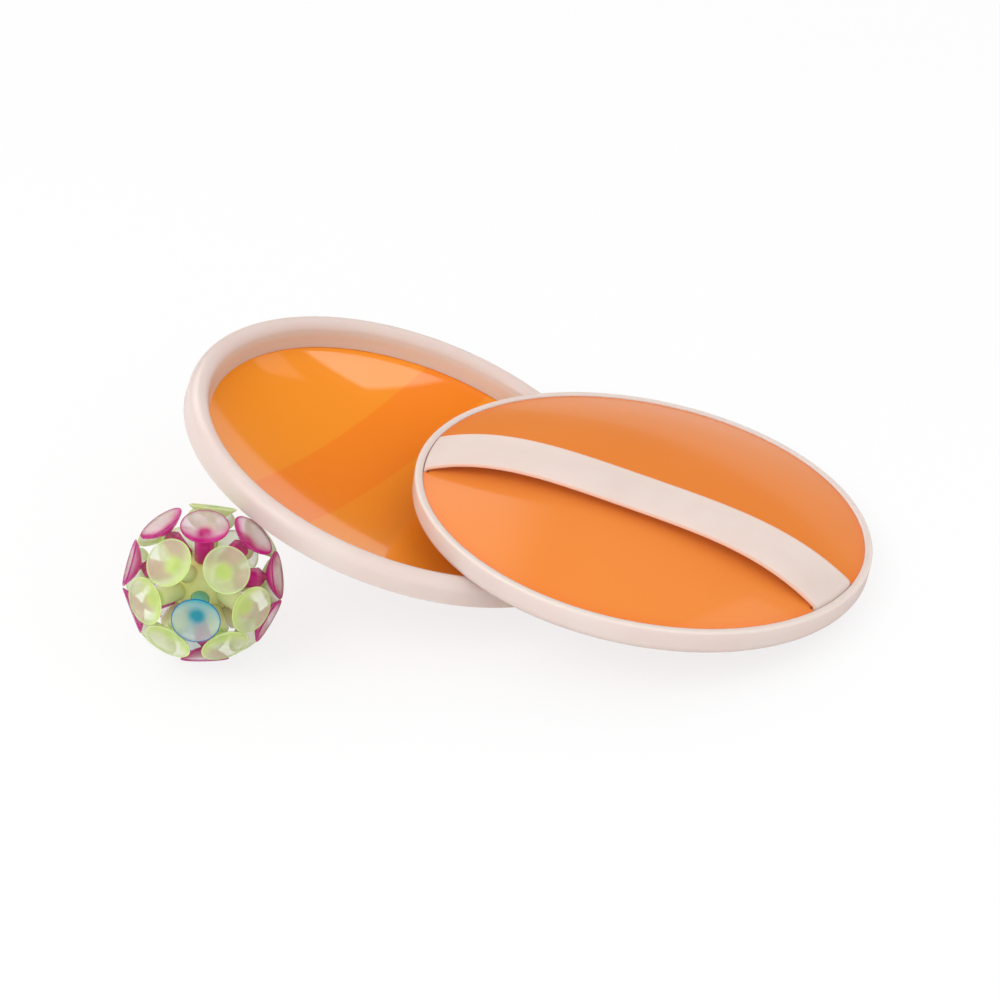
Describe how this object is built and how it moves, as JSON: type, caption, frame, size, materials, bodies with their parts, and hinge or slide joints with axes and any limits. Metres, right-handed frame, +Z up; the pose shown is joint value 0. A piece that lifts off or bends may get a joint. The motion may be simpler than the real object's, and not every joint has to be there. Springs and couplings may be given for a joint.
{
  "type": "suction catch ball set",
  "caption": "Catch game: dished hand discs with a strap across the back, and a ball of suction cups that sticks to them, lying leant on one another.",
  "frame": {"origin": "middle of the set's outline, on the plane it lies on", "axes": "+X along the row of pieces, from the ball towards the front disc; +Y from the viewer's side to the far side; +Z up"},
  "size_m": [0.3016, 0.2204, 0.0768],
  "materials": {
    "rim": "translucent white, polished",
    "panel": "translucent orange, polished",
    "strap": "pale woven webbing",
    "core": "translucent yellow green",
    "lime": "soft, translucent lime green, glossy",
    "magenta": "soft, translucent magenta, glossy",
    "blue": "soft, translucent blue, glossy"
  },
  "bodies": {
    "root": {"rear_disc_rim": "rim", "rear_disc_panel": "panel", "rear_disc_strap": "strap", "front_disc_rim": "rim", "front_disc_panel": "panel", "front_disc_strap": "strap", "ball_core": "core", "sucker_01": "magenta", "sucker_02": "magenta", "sucker_03": "lime", "sucker_04": "magenta", "sucker_05": "lime", "sucker_06": "lime", "sucker_07": "lime", "sucker_08": "lime", "sucker_09": "lime", "sucker_10": "magenta", "sucker_11": "lime", "sucker_12": "blue", "sucker_13": "lime", "sucker_14": "magenta", "sucker_15": "blue", "sucker_16": "magenta", "sucker_17": "lime", "sucker_18": "magenta", "sucker_19": "magenta", "sucker_20": "lime", "sucker_21": "lime", "sucker_22": "magenta", "sucker_23": "lime", "sucker_24": "lime", "sucker_25": "lime", "sucker_26": "lime", "sucker_27": "magenta", "sucker_28": "lime"}
  },
  "joints": []
}
